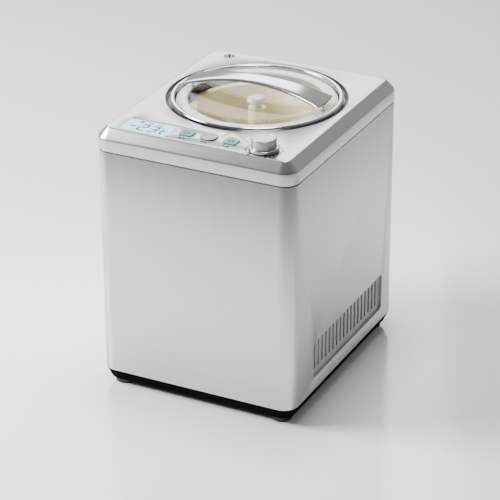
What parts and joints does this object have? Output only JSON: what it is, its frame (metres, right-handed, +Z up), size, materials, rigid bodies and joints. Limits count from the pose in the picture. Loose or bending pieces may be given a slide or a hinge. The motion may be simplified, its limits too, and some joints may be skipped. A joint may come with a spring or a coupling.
{
  "type": "ice cream maker",
  "caption": "Upright countertop ice cream maker with built-in compressor, round clear lid with arched handle, lift-out bowl and paddle, display, buttons and dial.",
  "frame": {"origin": "on the surface it stands on, under the middle of the casing", "axes": "+X to the right seen from the front, +Y to the back, +Z up"},
  "size_m": [0.275, 0.324, 0.386],
  "materials": {
    "brushed_steel": "vertical brushed stainless sheet",
    "brushed_deck": "brushed silver frame and deck",
    "polished_chrome": "polished ring",
    "black_plastic": "moulded black plastic",
    "silver_plastic": "moulded silver-grey plastic",
    "handle_silver": "satin silver strap",
    "clear_plastic": "clear glossy moulding",
    "white_plastic": "white food-safe plastic",
    "paddle_plastic": "cream food-safe plastic",
    "bowl_aluminium": "cream ceramic-coated aluminium",
    "well_aluminium": "drawn aluminium",
    "fin_aluminium": "thin fins on tubes",
    "knob_aluminium": "spun aluminium",
    "foam": "rigid foam",
    "copper_tube": "bare copper tube",
    "bronze": "sintered bronze",
    "nylon_case": "glass-filled nylon",
    "nylon_gear": "natural nylon",
    "motor_can": "plated can",
    "compressor_paint": "black painted steel",
    "galvanised_plate": "galvanised sheet",
    "zinc_steel": "zinc plated steel",
    "circuit_board": "green laminate",
    "display_glass": "pale blue lit display",
    "lit_button": "backlit pale blue key",
    "foot_rubber": "black rubber",
    "white_rubber": "white silicone"
  },
  "bodies": {
    "housing": {"base_screws": "zinc_steel", "base_tray": "black_plastic", "bezel_ring": "polished_chrome", "body_shell": "brushed_steel", "button_switches": "black_plastic", "capillary_pipe": "copper_tube", "chassis_pillars": "zinc_steel", "chassis_plate": "galvanised_plate", "chassis_screws": "zinc_steel", "compressor": "compressor_paint", "compressor_bolts": "zinc_steel", "compressor_grommets": "foot_rubber", "condenser": "fin_aluminium", "control_board": "circuit_board", "cooling_well": "well_aluminium", "cord_gland": "black_plastic", "discharge_pipe": "copper_tube", "display_module": "black_plastic", "display_window": "display_glass", "encoder_body": "zinc_steel", "evaporator_coil": "copper_tube", "fan_housing": "black_plastic", "filter_drier": "copper_tube", "gear_case": "nylon_case", "gear_case_screws": "zinc_steel", "gear_motor": "motor_can", "insulation_shell": "foam", "left_side_grille": "silver_plastic", "liquid_pipe": "copper_tube", "moat_ring": "black_plastic", "motor_screws": "zinc_steel", "power_board": "circuit_board", "rear_cover": "black_plastic", "rear_cover_screws": "zinc_steel", "right_side_grille": "silver_plastic", "rubber_feet": "foot_rubber", "shaft_bearing": "bronze", "suction_pipe": "copper_tube", "top_frame": "brushed_deck", "well_collar": "black_plastic"},
    "drive_shaft": {"drive_shaft": "zinc_steel", "drive_gear": "nylon_gear", "retaining_ring": "zinc_steel"},
    "motor_rotor": {"motor_shaft": "zinc_steel", "motor_pinion": "bronze"},
    "fan_rotor": {"fan_rotor": "black_plastic"},
    "ice_bowl": {"ice_bowl": "bowl_aluminium"},
    "paddle": {"paddle": "paddle_plastic", "paddle_cap": "white_plastic"},
    "lid": {"lid_window": "clear_plastic", "lid_gasket": "white_rubber", "lid_handle": "handle_silver", "handle_screws": "zinc_steel"},
    "power_button": {"power_button": "lit_button"},
    "menu_button": {"menu_button": "silver_plastic"},
    "start_button": {"start_button": "lit_button"},
    "control_knob": {"control_knob": "knob_aluminium", "knob_shaft": "zinc_steel"}
  },
  "joints": [
    {"name": "bowl_lift", "type": "slide", "parent": "housing", "child": "ice_bowl", "axis": [0, 0, 1], "range_m": [0, 0.19]},
    {"name": "lid_lift", "type": "slide", "parent": "ice_bowl", "child": "lid", "axis": [0, 0, 1], "range_m": [0, 0.12]},
    {"name": "drive_spin", "type": "hinge", "parent": "housing", "child": "drive_shaft", "pos_m": [0, 0.02, 0.16], "axis": [0, 0, 1], "continuous": true},
    {"name": "motor_spin", "type": "hinge", "parent": "housing", "child": "motor_rotor", "pos_m": [0.03818, -0.01818, 0.16], "axis": [0, 0, 1], "continuous": true},
    {"name": "paddle_spin", "type": "hinge", "parent": "ice_bowl", "child": "paddle", "pos_m": [0, 0.02, 0.25], "axis": [0, 0, 1], "continuous": true},
    {"name": "fan_spin", "type": "hinge", "parent": "housing", "child": "fan_rotor", "pos_m": [0.082, 0.022, 0.064], "axis": [1, 0, 0], "continuous": true},
    {"name": "knob_turn", "type": "hinge", "parent": "housing", "child": "control_knob", "pos_m": [0.084, -0.1305, 0.365], "axis": [0, 0, 1], "continuous": true},
    {"name": "power_button_press", "type": "slide", "parent": "housing", "child": "power_button", "axis": [0, 0, -1], "range_m": [0, 0.0015], "stiffness_N_per_m": 400},
    {"name": "menu_button_press", "type": "slide", "parent": "housing", "child": "menu_button", "axis": [0, 0, -1], "range_m": [0, 0.0015], "stiffness_N_per_m": 400},
    {"name": "start_button_press", "type": "slide", "parent": "housing", "child": "start_button", "axis": [0, 0, -1], "range_m": [0, 0.0015], "stiffness_N_per_m": 400}
  ],
  "couplings": [
    {"joint": "paddle_spin", "follows": "drive_spin", "ratio": 1},
    {"joint": "motor_spin", "follows": "drive_spin", "ratio": -3}
  ]
}
